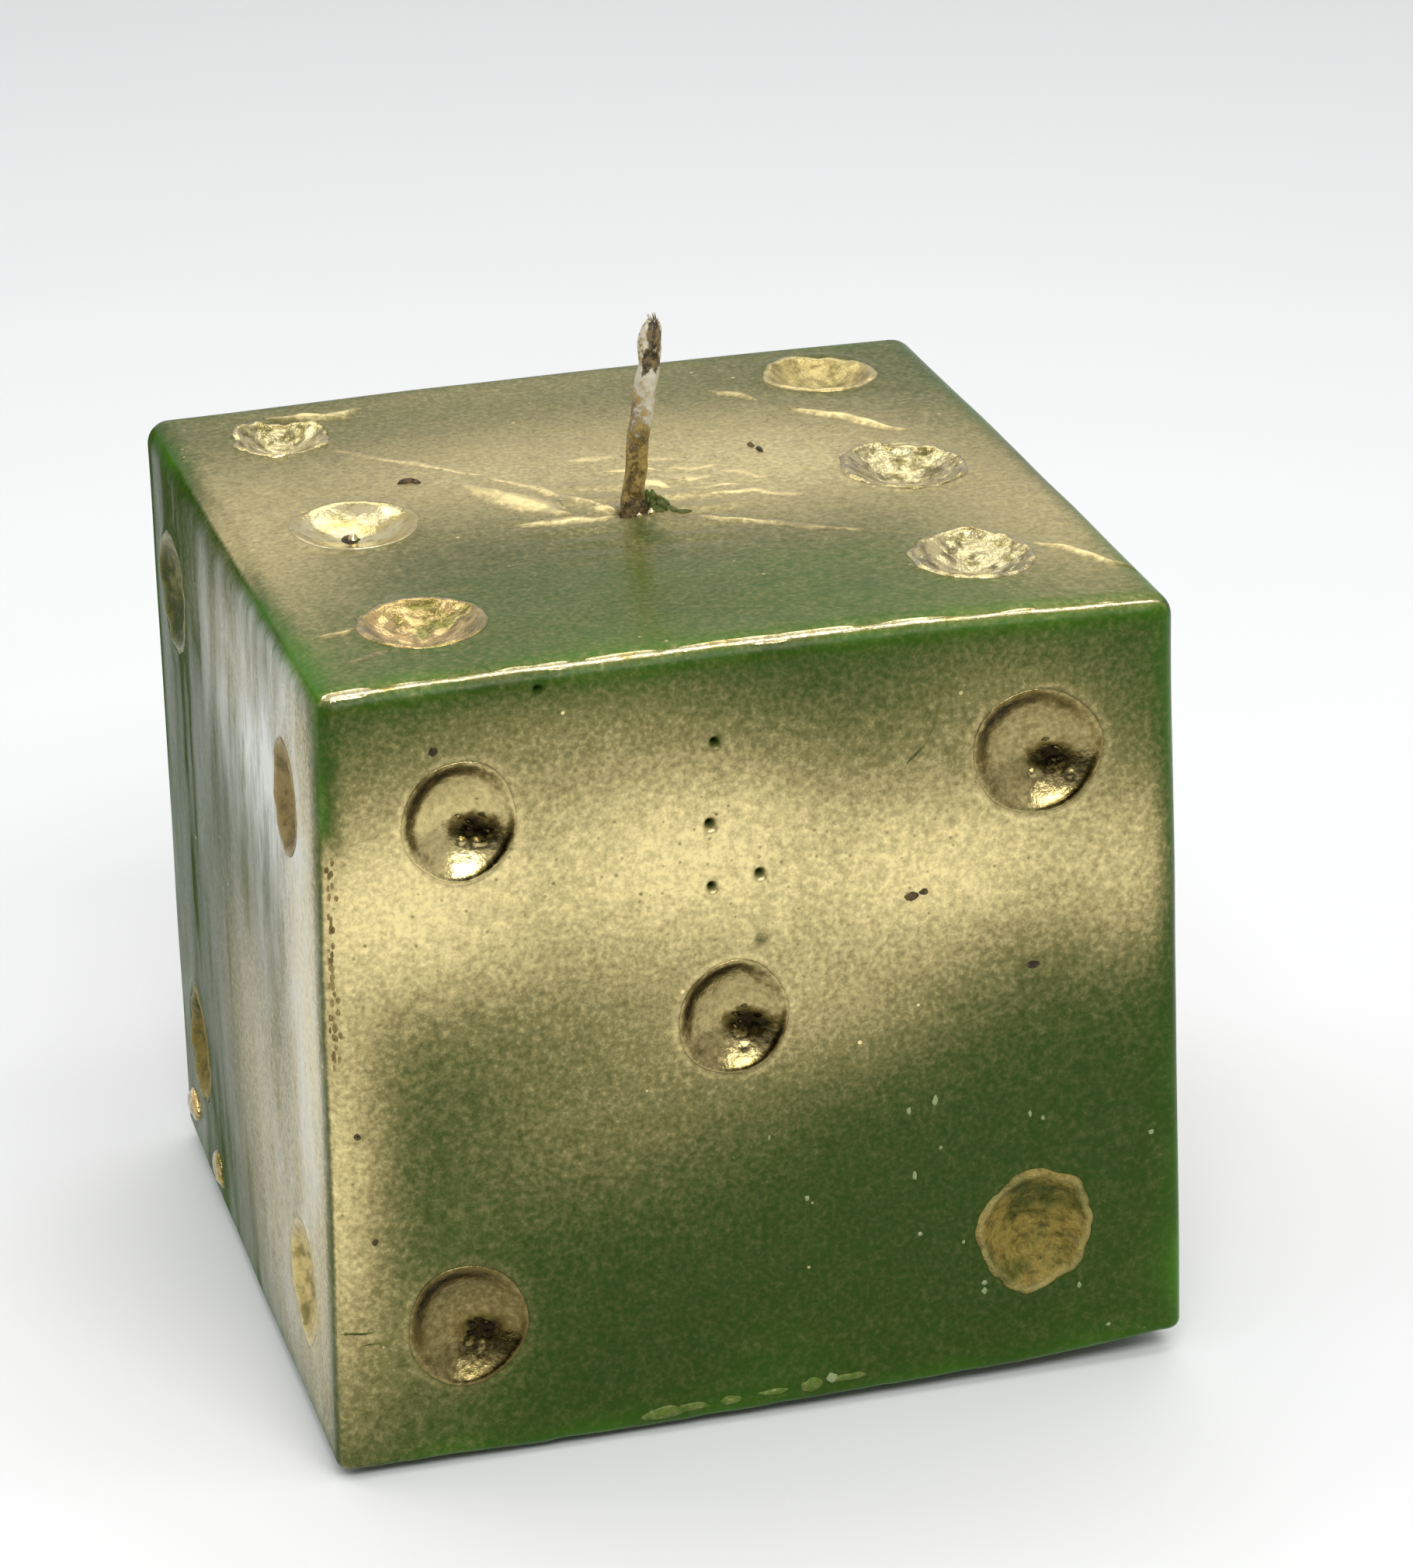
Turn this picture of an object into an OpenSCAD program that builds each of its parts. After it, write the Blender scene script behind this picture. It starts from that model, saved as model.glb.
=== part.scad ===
// Die-shaped candle: a wax block cast in a mould, a bent wick stub, and gold paint in every pip.
// Origin at the centre of the base, +Z up, -Y is the face with five pips. Millimetres.

/* [Block] */
// Width and depth of the wax block at its base
block_w = 60; // [57:0.5:64]
// Height to which the mould was filled
block_h = 57.7; // [56:0.1:62]
// How far each side leans in between the base and the top
draft = 0.25; // [0.05:0.05:0.6]
// Rounding of the edges around the top, the closed end of the mould
top_edge_r = 1.8; // [1:0.1:2.5]
// Rounding of the edges around the base, the open end of the mould
base_edge_r = 1; // [0.5:0.1:2]

/* [Pips] */
// Diameter of a pip where it meets its face
pip_d = 8.4; // [7:0.1:9]
// Depth of a pip at its middle
pip_depth = 1.7; // [1.2:0.1:2.5]
// Spacing of the outer pips across a face
pip_pitch = 40.4; // [38:0.1:41]
// Spacing of the outer pips up a side
pip_rise = 36.8; // [34:0.1:38]
// Height of the middle of the pip pattern on the sides
pip_mid_z = 29.1; // [27:0.1:30]
// How far the pattern on the top sits behind the centre
top_pips_back = 1.4; // [0:0.1:1.5]
// How far the middle pip of the five sits to the left
five_mid_left = 1.9; // [0:0.1:2]
// How far the middle pip of the five sits above the middle of its pattern
five_mid_up = 1.7; // [0:0.1:2]
// Thickness of the gold paint that lines a pip
paint_t = 0.3; // [0.2:0.05:0.5]

/* [Wick] */
// Diameter of the waxed wick
wick_d = 1.7; // [1.4:0.1:2.4]
// How far the wick stands to the left of the block's centre
wick_left = 0.9; // [0:0.1:2]
// How far the wick stands in front of the block's centre
wick_front = 3.2; // [0:0.1:4]
// Length of the wick that stands free of the top
wick_free = 15.3; // [8:0.1:25]
// Lean of the free wick to the right, in degrees
wick_lean = 8; // [2:1:15]
// Radius of the bend where the wick leaves the wax
wick_bend_r = 18; // [8:1:30]
// Length of the cut and frayed tip
wick_tip_l = 1.6; // [1:0.1:2.5]
// Diameter at the very end of the tip
wick_tip_d = 0.6; // [0.4:0.1:1]

/* [Sustainer] */
// Diameter of the steel disc under the wick
tab_d = 14; // [12:0.5:16]
// Thickness of the disc
tab_t = 0.4; // [0.3:0.1:0.6]
// Wall of the neck that is crimped round the wick
neck_wall = 0.4; // [0.3:0.1:0.6]
// Height of the neck above the base
neck_h = 3.2; // [2:0.1:5]

/* [Second pour] */
// Diameter, at the base, of the well that the second pour fills
well_d = 36; // [30:1:40]
// Diameter at the bottom of the well
well_inner_d = 18; // [16:1:20]
// Depth of the well
well_depth = 6; // [5.5:0.5:9]

/* [Hidden] */
// Distance by which a cutting shape passes a surface
clear = 1;
// Overlap that joins two lengths of the wick into one solid
join = 0.02;
// Facets round a rounded corner of the block
corner_fn = 32;
// Facets round everything else, which is exact in the finished part
round_fn = 96;

// Radius of the ball that cuts a pip of that diameter and depth
pip_ball_r = (pip_d * pip_d / 4 + pip_depth * pip_depth) / (2 * pip_depth);
// Height between the middles of the lower and the upper rounded corners
flat_h = block_h - top_edge_r - base_edge_r;
// Angle at which a side leans in
side_lean = atan(draft / flat_h);
// Length of the straight free wick, above its bend
wick_bend_l = wick_bend_r * wick_lean * PI / 180;
wick_straight_l = wick_free - wick_bend_l - wick_tip_l;

WAX = [0.2, 0.42, 0.13];
GOLD = [0.78, 0.64, 0.3];
COTTON = [0.8, 0.75, 0.6];
STEEL = [0.7, 0.71, 0.72];

// Faces with pips: name, number of pips, and turn about +Z from the front, or "up" for the top.
// The base is the open end of the mould, so it has none.
FACES = [["top", 6, "up"], ["front", 5, 0], ["left", 4, -90], ["right", 3, 90], ["back", 2, 180]];

function pip_node(face, i) = str("pip_", face[0], "_", i);

// Where the pips of a die face lie, in half pitches across it and up it
function pip_spots(count) = concat(
    count % 2 == 1 ? [[0, 0]] : [],
    count >= 2 ? [[-1, 1], [1, -1]] : [],
    count >= 4 ? [[1, 1], [-1, -1]] : [],
    count == 6 ? [[-1, 0], [1, 0]] : []
);

// Distance of a leaning side from the block's axis, at height z
function side_at(z) = block_w / 2 - draft * (z - base_edge_r) / flat_h;

// Places its children on a pip, with +Z out of the wax and z = 0 on the face
module at_pip(face, i) {
    spot = pip_spots(face[1])[i - 1];
    across = spot[0] * pip_pitch / 2;
    if (face[2] == "up") {
        translate([across, spot[1] * pip_pitch / 2 + top_pips_back, block_h])
            children();
    } else {
        off_centre = face[1] == 5 && i == 1;
        u = across - (off_centre ? five_mid_left : 0);
        z = pip_mid_z + spot[1] * pip_rise / 2 + (off_centre ? five_mid_up : 0);
        rotate([0, 0, face[2]])
            translate([u, -side_at(z), z])
                rotate([90 - side_lean, 0, 0])
                    children();
    }
}

// The ball that forms a pip, or with less radius, the inside of its paint
module pip_ball(r) {
    translate([0, 0, pip_ball_r - pip_depth])
        sphere(r = r, $fn = round_fn);
}

// A ball whose outermost points lie exactly r from its middle along X, Y and Z
module corner_ball(r) {
    rotate_extrude($fn = corner_fn)
        intersection() {
            circle(r = r, $fn = corner_fn);
            translate([0, -r])
                square([r, 2 * r]);
        }
}

module block() {
    hull()
        for (sx = [-1, 1], sy = [-1, 1]) {
            low = block_w / 2 - base_edge_r;
            high = block_w / 2 - draft - top_edge_r;
            translate([sx * low, sy * low, base_edge_r])
                corner_ball(base_edge_r);
            translate([sx * high, sy * high, block_h - top_edge_r])
                corner_ball(top_edge_r);
        }
}

// Everything about the wick's axis
module at_wick() {
    translate([-wick_left, -wick_front, 0])
        children();
}

// The space of the second pour, open at the base
module well() {
    cylinder(d1 = well_d, d2 = well_inner_d, h = well_depth, $fn = round_fn);
}

module wax_body() {
    color(WAX)
        difference() {
            block();
            for (face = FACES, i = [1 : face[1]])
                at_pip(face, i)
                    pip_ball(pip_ball_r);
            well();
            at_wick()
                cylinder(d = wick_d, h = block_h + clear, $fn = round_fn);
        }
}

module base_top_up() {
    color(WAX)
        difference() {
            well();
            at_wick() {
                cylinder(d = wick_d, h = well_depth + clear, $fn = round_fn);
                cylinder(d = tab_d, h = tab_t, $fn = round_fn);
                cylinder(d = wick_d + 2 * neck_wall, h = neck_h, $fn = round_fn);
            }
        }
}

// Straight through the wax, bent to the right where it leaves it, and cut to a frayed tip
module wick() {
    color(COTTON)
        at_wick() {
            cylinder(d = wick_d, h = block_h + join, $fn = round_fn);
            translate([wick_bend_r, 0, block_h]) {
                rotate([-90, 180, 0])
                    rotate_extrude(angle = wick_lean, $fn = round_fn)
                        translate([wick_bend_r, 0])
                            circle(d = wick_d, $fn = round_fn);
                rotate([0, wick_lean, 0])
                    translate([-wick_bend_r, 0, 0]) {
                        translate([0, 0, -join])
                            cylinder(d = wick_d, h = wick_straight_l + join, $fn = round_fn);
                        translate([0, 0, wick_straight_l])
                            cylinder(d1 = wick_d, d2 = wick_tip_d, h = wick_tip_l, $fn = round_fn);
                    }
            }
        }
}

// Stamped disc, flush with the base, with a neck crimped round the wick
module wick_sustainer() {
    color(STEEL)
        at_wick()
            difference() {
                union() {
                    cylinder(d = tab_d, h = tab_t, $fn = round_fn);
                    cylinder(d = wick_d + 2 * neck_wall, h = neck_h, $fn = round_fn);
                }
                translate([0, 0, -clear])
                    cylinder(d = wick_d, h = neck_h + 2 * clear, $fn = round_fn);
            }
}

// A skin of gold paint that lines one pip and ends flush with the face
module pip_paint(face, i) {
    color(GOLD)
        at_pip(face, i)
            difference() {
                pip_ball(pip_ball_r);
                pip_ball(pip_ball_r - paint_t);
                translate([-pip_ball_r, -pip_ball_r, 0])
                    cube(2 * pip_ball_r);
            }
}

wax_body();
base_top_up();
wick();
wick_sustainer();
for (face = FACES, i = [1 : face[1]])
    pip_paint(face, i);
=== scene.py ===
"""A die-shaped candle: a hand-cast block of green wax misted with gold, painted pips and a waxed wick.

Lengths are in millimetres until a mesh is made. The block, the wick and the pips take their sizes and
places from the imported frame. A point of the block is given by its face, by u and v across and up that
face from its middle, and by n, its height above the face.
"""

import math

import bpy
import numpy as np
from mathutils import Matrix, Vector


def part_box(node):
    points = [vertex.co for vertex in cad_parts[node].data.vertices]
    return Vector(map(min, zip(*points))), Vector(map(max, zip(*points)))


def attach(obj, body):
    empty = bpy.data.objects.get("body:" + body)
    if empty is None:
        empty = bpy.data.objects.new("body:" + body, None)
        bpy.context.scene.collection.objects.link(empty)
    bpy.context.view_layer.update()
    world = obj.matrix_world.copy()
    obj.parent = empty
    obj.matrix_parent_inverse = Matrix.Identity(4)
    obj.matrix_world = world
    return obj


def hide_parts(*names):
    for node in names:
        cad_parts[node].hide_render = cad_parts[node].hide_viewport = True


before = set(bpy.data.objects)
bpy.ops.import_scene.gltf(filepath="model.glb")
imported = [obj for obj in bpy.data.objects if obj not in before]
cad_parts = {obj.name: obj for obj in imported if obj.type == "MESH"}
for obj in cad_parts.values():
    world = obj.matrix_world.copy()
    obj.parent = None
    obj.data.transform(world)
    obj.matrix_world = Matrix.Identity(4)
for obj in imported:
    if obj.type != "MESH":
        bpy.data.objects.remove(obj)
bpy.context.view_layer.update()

MM = 0.001


def node_box(name):
    """Lowest and highest corner of a CAD node, in millimetres."""
    low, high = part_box(name)
    return np.array(low) / MM, np.array(high) / MM


# ---- dimensions
block_low, block_high = node_box("wax_body")
HALF_W = (block_high[0] - block_low[0]) / 2
HEIGHT = block_high[2]
HALF_H = HEIGHT / 2
TOP_R = 1.7  # of the edges round the top
BASE_R = 1.0  # of the edges round the base
DRAFT = 0.25  # how far each side leans in
BELLY = 0.35  # how far each side bellies out half way up
WAVES = 0.14  # how far the whole surface wanders in and out
PAINT = 0.12  # thickness of the paint in a pip
SHRINK = 0.1  # how much shallower each dimple came out than in the CAD
CLEAR = 0.02  # how far paint stays clear of the wax
SUNK = 0.05  # how deep its underside lies in the wax

wick_high = node_box("wick")[1]
neck_low, neck_high = node_box("wick_sustainer")
WICK_AT = (neck_low + neck_high)[:2] / 2
WICK_R = 0.85

# The well in the base, which the second pour fills.
well_low, well_high = node_box("base_top_up")
WELL_AT = (well_low + well_high)[:2] / 2
WELL_GAP = 0.03
WELL_R = (well_high - well_low)[0] / 2 + WELL_GAP
WELL_DEPTH = well_high[2] + WELL_GAP
WELL_SLOPE = WELL_R / 2

# Each face: its u axis, its v axis, and the way out of the wax.
AXES = {
    "front": ((1, 0, 0), (0, 0, 1), (0, -1, 0)),
    "right": ((0, 1, 0), (0, 0, 1), (1, 0, 0)),
    "back": ((-1, 0, 0), (0, 0, 1), (0, 1, 0)),
    "left": ((0, -1, 0), (0, 0, 1), (-1, 0, 0)),
    "top": ((1, 0, 0), (0, 1, 0), (0, 0, 1)),
    "base": ((1, 0, 0), (0, -1, 0), (0, 0, -1)),
}
FACES = {name: np.array(axes, float) for name, axes in AXES.items()}
MIDDLE = np.array([0, 0, HALF_H])
HALF = np.array([HALF_W, HALF_W, HALF_H])


# ---- noise and curves
def smooth(t):
    t = np.clip(t, 0, 1)
    return t * t * (3 - 2 * t)


def lattice(cell, seed):
    """A repeatable number from -1 to 1 for each lattice point."""
    h = np.sin(cell @ np.array([127.1, 311.7, 74.7]) + seed * 53.3) * 43758.5453
    return (h - np.floor(h)) * 2 - 1


def noise(points, size, seed=0, octaves=1):
    """Smooth noise from -1 to 1 whose lumps are about size across."""
    total, weight, reach = 0.0, 1.0, 0.0
    for octave in range(octaves):
        q = points / size * 2**octave + 100.5
        cell = np.floor(q)
        f = smooth(q - cell)
        value = 0.0
        for corner in np.ndindex(2, 2, 2):
            corner = np.array(corner)
            share = np.prod(np.where(corner, f, 1 - f), axis=1)
            value = value + share * lattice(cell + corner, seed + octave)
        total, reach, weight = total + value * weight, reach + weight, weight / 2
    return total / reach


def hump(x, width):
    return np.exp(-((x / width) ** 2))


def xyz(x, y, z=0.0):
    """Points as rows, from their coordinates."""
    return np.stack(np.broadcast_arrays(x, y, z), 1)


# ---- the hand-cast shape
# How far each corner lies from where a true block has it: (x, y) side, top or base, and the shift.
CORNER_SHIFTS = [
    ((-1, -1, 0), (-0.9, 0, 0.3)),
    ((1, -1, 0), (0.2, 0, 1.4)),
    ((-1, 1, 0), (0.6, 0.2, 0.7)),
    ((1, 1, 0), (0, 0, 1.0)),
    ((-1, -1, 1), (0.1, 0, 0.1)),
    ((1, -1, 1), (0.5, 0, -0.5)),
    ((-1, 1, 1), (0.3, 0, 0.4)),
    ((1, 1, 1), (-0.7, 0, 0.1)),
]


def hand_cast(p):
    """Moves points of a true block to where the poured one has them."""
    sx, sy = p[:, 0] / HALF_W, p[:, 1] / HALF_W
    t = p[:, 2] / HEIGHT
    out = p.copy()
    out[:, 0] -= DRAFT * sx * t
    out[:, 1] -= DRAFT * sy * t
    for (cx, cy, top), shift in CORNER_SHIFTS:
        near = np.clip((1 + cx * sx) / 2, 0, 1) * np.clip((1 + cy * sy) / 2, 0, 1)
        upright = np.clip(t if top else 1 - t, 0, 1)
        out[:, :2] += (near * upright)[:, None] * shift[:2]
        out[:, 2] += near**3 * upright**2 * shift[2]
    # The soft mould let the sides and the top belly out a little.
    belly = (1 - np.clip(2 * t - 1, -1, 1) ** 2) * BELLY
    out[:, 0] += sx * np.clip(1 - sy**2, 0, 1) * belly
    out[:, 1] += sy * np.clip(1 - sx**2, 0, 1) * belly
    out[:, 2] += np.clip(t, 0, 1) ** 4 * 0.4 * (np.clip(1 - sx**2, 0, 1) - 0.5)
    for axis in range(3):
        out[:, axis] += WAVES * noise(p, 14, seed=3 + axis, octaves=2)
    # The poured base isn't quite flat at its edge.
    rim = np.clip(1 - p[:, 2] / 2.5, 0, 1) * smooth((np.maximum(abs(sx), abs(sy)) - 0.75) * 4)
    out[:, 2] += rim * (0.35 + 0.35 * noise(p, 5, seed=11, octaves=3))
    return out


def on_block(face, u, v, n=0.0):
    """Points of the cast block, from places on a face of the true one."""
    across, up, outward = FACES[face]
    u, v = np.broadcast_arrays(np.asarray(u, float), np.asarray(v, float))
    box = u[:, None] * across + v[:, None] * up + outward * HALF + MIDDLE
    radius = (BASE_R + (TOP_R - BASE_R) * smooth(box[:, 2] / HEIGHT))[:, None]
    flat = HALF_W - radius
    inner = np.hstack([np.clip(box[:, :2], -flat, flat), np.clip(box[:, 2:], BASE_R, HEIGHT - TOP_R)])
    way = box - inner
    way /= np.linalg.norm(way, axis=1)[:, None]
    return hand_cast(inner + way * (radius + np.asarray(n).reshape(-1, 1)))


# ---- pips
class Pip:
    """A dimple and its paint. The CAD node gives its face, place and size, and the rest how it came out."""

    def __init__(self, spot, paint, shift=(0, 0), size=(1, 1), crinkle=0.0, ragged=0.0, tone=1.0):
        self.node, self.face = "pip_" + spot, spot.split("_")[0]
        across, up, outward = FACES[self.face]
        low, high = node_box(self.node)
        middle, reach = (low + high) / 2 - MIDDLE, high - low
        self.depth = abs(reach @ outward) - SHRINK
        self.u, self.v = middle @ across + shift[0], middle @ up + shift[1]
        self.radius_u = abs(reach @ across) / 2 * size[0]
        self.radius_v = abs(reach @ up) / 2 * size[1]
        self.paint, self.crinkle, self.ragged, self.tone = paint, crinkle, ragged, tone
        self.seed = sum(self.node.encode()) % 97

    def radius(self, angle):
        """The rim's distance from the middle of the pip, in that direction."""
        wobble = 0.012 * np.sin(3 * angle + self.seed) + 0.01 * np.sin(5 * angle + 2 * self.seed)
        ellipse = np.hypot(np.cos(angle) / self.radius_u, np.sin(angle) / self.radius_v)
        return (1 + wobble) / ellipse

    def share(self, u, v):
        """Distance from the middle as a share of the rim's."""
        du, dv = u - self.u, v - self.v
        return np.hypot(du, dv) / self.radius(np.arctan2(dv, du))

    def dip(self, u, v):
        """The dimple, with its rim rounded off, and the low swelling round it."""
        s = self.share(u, v)
        bowl = self.depth * (1 - s**2)
        soft, swelling = 0.14, 0.1
        return -(bowl + np.sqrt(bowl**2 + soft**2)) / 2 + swelling * hump(s - 1.1, 0.08)


PIPS = [
    Pip("front_1", "wet", (0, 0), (0.9, 0.98), tone=0.75),
    Pip("front_2", "wet", (-0.2, 0), (0.91, 1.0)),
    Pip("front_3", "ochre", (-1.0, 0.2), (0.94, 1.04), 0.35, 0.4),
    Pip("front_4", "wet", (-0.3, -0.1), (1.08, 1.06), 0.02, tone=0.7),
    Pip("front_5", "wet", (-0.6, -0.2), (0.97, 1.06), 0.05, tone=0.5),
    Pip("top_1", "pale", (-1.0, 0.1), (0.82, 0.86), 0.3, 0.5),
    Pip("top_2", "pale", (-1.1, 0.1), (0.98, 1.1), 0.3, 0.45),
    Pip("top_3", "straw", (0.3, 0.5), (0.98, 0.98), 0.26, 0.3),
    Pip("top_4", "amber", (0.2, -0.3), (1.02, 1.14), 0.26, 0.2),
    Pip("top_5", "mirror", (0.1, 0.3), (1.04, 1.1), 0.06, 0.25),
    Pip("top_6", "pale", (0, -1.1), (1.04, 1.08), 0.3, 0.35),
    Pip("left_1", "olive", (0, 0), (1.15, 1.0), 0.16, 0.3),
    Pip("left_2", "straw", (0, 0), (1.0, 1.05), 0.12, 0.2),
    Pip("left_3", "brown", (0, -0.5), (0.85, 0.95), 0.1, 0.2),
    Pip("left_4", "ochre", (0, 0.6), (1.0, 1.0), 0.12, 0.25),
    Pip("right_1", "wet", (0.3, 0.2)),
    Pip("right_2", "ochre", (-0.2, 0.1), (1.0, 1.04), 0.12, 0.2),
    Pip("right_3", "amber", (0.2, -0.2), (1.02, 1.0), 0.14, 0.2),
    Pip("back_1", "wet", (0.1, 0.2), (1, 1), 0.04),
    Pip("back_2", "ochre", (-0.3, 0), (1.04, 1.0), 0.12, 0.2),
]

# Pinholes that air bubbles left in the front: u, v and radius.
PINHOLES = [
    (-14.7, 27.2, 0.28),
    (-2.7, 21.9, 0.28),
    (-3.2, 16.1, 0.3),
    (0.2, 12.2, 0.28),
    (-3.2, 11.7, 0.26),
    (0.1, 7.4, 0.22),
]

# Folds in the top, where the wax wrinkled as it set: start, end, half width and height of each one, and
# for some how blunt its ends are and how much it wanders.
FOLDS = [
    ((-19.5, 19), (-8, 7.5), 0.45, 0.1, 0.6, 0.5),
    ((-11.2, 7), (-5.0, -2.4), 1.0, 0.62, 0.6, 0.5),
    ((-9, 8.5), (-1.6, -2.0), 0.4, 0.16, 0.6, 0.6),
    ((1.5, -4), (14.5, -12.5), 0.4, 0.2, 0.6, 0.6),
    ((16, 15.5), (23, 7.5), 0.5, 0.4),
    ((11.5, 21), (14.5, 17.5), 0.45, 0.25),
    ((24.0, -17.0), (29.3, -24), 0.4, 0.35),
    ((-21.5, 26.5), (-15, 24), 0.5, 0.45),
    ((-17.8, 24.6), (-14, 26.2), 0.45, 0.35),
    ((-27.5, -19), (-24.2, -18.8), 0.35, 0.3),
    ((-26.8, -24.4), (-23, -23.6), 0.35, 0.15),
    ((-3, 9.7), (1.5, 9), 0.5, 0.1),
    ((-1, 6.4), (3.5, 5.2), 0.4, 0.1, 0.6, 2),
    ((4, 6), (7.5, 4.4), 0.5, 0.09, 0.6, 2),
    ((3, 4.4), (6.5, 2.8), 0.6, 0.12, 0.6, 2),
    ((7, 3.6), (10.5, 1.5), 0.5, 0.1, 0.6, 2),
    ((0.5, 3.4), (3.5, 1.6), 0.5, 0.16, 0.6, 2),
    ((4, 1.6), (7.8, 0.2), 0.4, 0.12, 0.6, 2),
    ((5, -0.4), (12.5, -3), 0.5, 0.12, 0.6, 2),
    ((2, 8.3), (6, 7.4), 0.45, 0.08, 0.6, 2),
    ((-9.5, -2.6), (-2.2, -3.9), 0.7, 0.45, 0.6, 0.5),
    ((-4.0, -1.2), (-1.4, -3.0), 0.5, 0.4),
]

# Scratches in the front, dark because they broke through the gold: the same values as for a fold.
SCRATCHES = [
    ((10.3, 18.7), (12.1, 20.4), 0.13, 0.04),
    ((12.0, 20.2), (13.4, 22.6), 0.12, 0.04),
    ((-29.6, -18.2), (-27.0, -17.7), 0.13, 0.05),
    ((-28.4, -19.0), (-25.5, -18.3), 0.1, 0.04),
    ((-0.5, -11.9), (0.4, -10.6), 0.15, 0.05),
]


def relief(face, u, v):
    """Height of the wax above its face."""
    n = np.zeros(np.shape(u))
    for pip in PIPS:
        if pip.face == face:
            n = n + pip.dip(u, v)
    if face == "front":
        for pu, pv, r in PINHOLES:
            n = n - 3.2 * r * hump(np.hypot(u - pu, v - pv), r)
    if face == "base":
        d = np.hypot(u - WELL_AT[0], v + WELL_AT[1])
        n = n - WELL_DEPTH * np.clip((WELL_R - d) / WELL_SLOPE, 0, 1)
    if face == "top":
        du, dv = u - WICK_AT[0], v - WICK_AT[1]
        d = np.hypot(du, dv)
        lean = 0.5 + 0.5 * du / np.maximum(d, 0.1)
        n = n + hump(d - 1.7, 0.8) * (0.15 + 0.5 * lean**2) - 1.2 * smooth((1.15 - d) * 2.5)
        n = n + 0.12 * hump(d - 4.5, 3.5) * np.sin(dv * 2.1 + 0.25 * du)
    return n


# ---- where the gold mist fell
# Soft clouds of spray: u, v, reach across, reach up, and how much of what is still bare each one covers.
CLOUDS = {
    "front": [
        (-24, 13, 13, 9, 0.92),
        (-5, 14, 13, 8.5, 0.92),
        (13, 11, 13, 7.0, 0.88),
        (27, 9, 7, 8, 0.6),
        (3, 2, 14, 7, 0.5),
        (-12, -5, 13, 8, 0.3),
        (-30, -7, 4.2, 20, 0.8),
        (-23, -20, 6, 8, 0.25),
        (-14, 24, 14, 4, 0.24),
        (18, 22, 10, 6, 0.35),
    ],
    "top": [
        (-9, 9, 20, 11, 0.7),
        (11, 4, 14, 12, 0.85),
        (26, -12, 8, 16, 0.62),
        (-28, 0, 7, 17, 0.6),
        (-4, 27, 22, 5, 0.25),
    ],
    "left": [
        (6, -6, 13, 14, 0.5),
        (25, 4, 8, 30, 0.85),
        (15, -20, 15, 11, 0.5),
        (4, 22, 16, 7, 0.4),
        (-2, 36, 15, 2.5, 0.8),
    ],
    "right": [(-10, 8, 16, 12, 0.85), (14, -4, 14, 16, 0.7), (0, -18, 20, 7, 0.3)],
    "back": [(-10, 4, 18, 12, 0.85), (16, 12, 12, 10, 0.7), (6, -14, 16, 8, 0.35)],
    "base": [(20, 20, 12, 12, 0.2)],
}
BARE = {"front": 0.86, "top": 0.68, "left": 0.86, "right": 0.8, "back": 0.8, "base": 0.9}


def edge_distance(face, u, v):
    half_v = HALF_W if face in ("top", "base") else HALF_H
    return np.maximum(np.minimum(HALF_W - abs(u), half_v - abs(v)), 0)


def over_top_left(face, u, v):
    """1 at the middle of the edge between the top and the left, where the spray reached over it."""
    along, beyond = (v, u + HALF_W) if face == "top" else (-u, HALF_H - v)
    return hump(along - 3, 15) * hump(beyond, 5)


def mist(face, u, v):
    """How golden the surface looks, from 0 to 1. The spray thins out towards the edges."""
    bare = np.full(np.shape(u), BARE[face])
    for cu, cv, ru, rv, amount in CLOUDS[face]:
        bare = bare * (1 - amount * np.exp(-(((u - cu) / ru) ** 2) - ((v - cv) / rv) ** 2))
    fade = 0.4 + 0.6 * smooth(edge_distance(face, u, v) / 2.5)
    if face == "front":
        fade = np.where(u < -20, np.maximum(fade, smooth((22 - v) / 6)), fade)
    if face in ("top", "left"):
        fade = np.maximum(fade, over_top_left(face, u, v))
    gold = (1 - bare) * fade
    if face in ("front", "top"):
        # The spray caught the whole of the edge where these two meet.
        lip = HALF_H - v if face == "front" else v + HALF_W
        gold = gold + 0.35 * hump(lip, 0.6 if face == "front" else 1.0)
    if face == "front":
        # Painted shade in the pinholes: the gold thins out there, so they show the dark wax.
        for pu, pv, r in PINHOLES:
            gold = gold * (1 - 0.9 * hump(np.hypot(u - pu, v - pv), r * 1.2))
    for pip in PIPS:
        if pip.face == face and pip.paint == "wet":
            uneven = 0.5 + 0.9 * noise(xyz(u, v), 2.2, 81, 2)
            gold = gold + 0.16 * uneven * hump(pip.share(u, v) - 1.1, 0.07)
    if face == "top":
        du, dv = u - WICK_AT[0], v - WICK_AT[1]
        gold = gold * (1 - 0.8 * hump(np.hypot(du - 1.1, dv - 0.4), 1.1))
        # Painted reflection of the wick: less gold in a strip in front of it.
        gold = gold * (1 - 0.4 * hump(du, 1.0) * hump(dv + 4.0, 2.8))
    return np.clip(gold, 0, 1)


def painted_sheen(face, u, v):
    """Painted sheen: a pale colour on the left that stands in for its reflection at a grazing angle,
    strongest high up.
    """
    if face != "left":
        return 0 * u
    thick = 0.75 * hump(u - 9, 15) * hump(v - 19, 8) + 0.7 * hump(u - 24, 4.5) * hump(v - 6, 24)
    thick = thick + 0.3 * hump(u - 14, 10) + 0.04 + 0.1 * smooth((-8 - v) / 10)
    cloudy = 0.8 + 0.6 * noise(xyz(u, v), 5, 71, 3)
    return thick * cloudy * smooth(edge_distance(face, u, v) / 1.5)


def matte(face, u, v):
    """Where the wax's own reflection is turned down, all over the left, so that the painted sheen stands in
    for it.
    """
    if face != "left":
        return 0 * u
    return np.clip(0.95 + 0.3 * noise(xyz(u, v / 5), 3, 73, 3), 0, 1)


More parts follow.
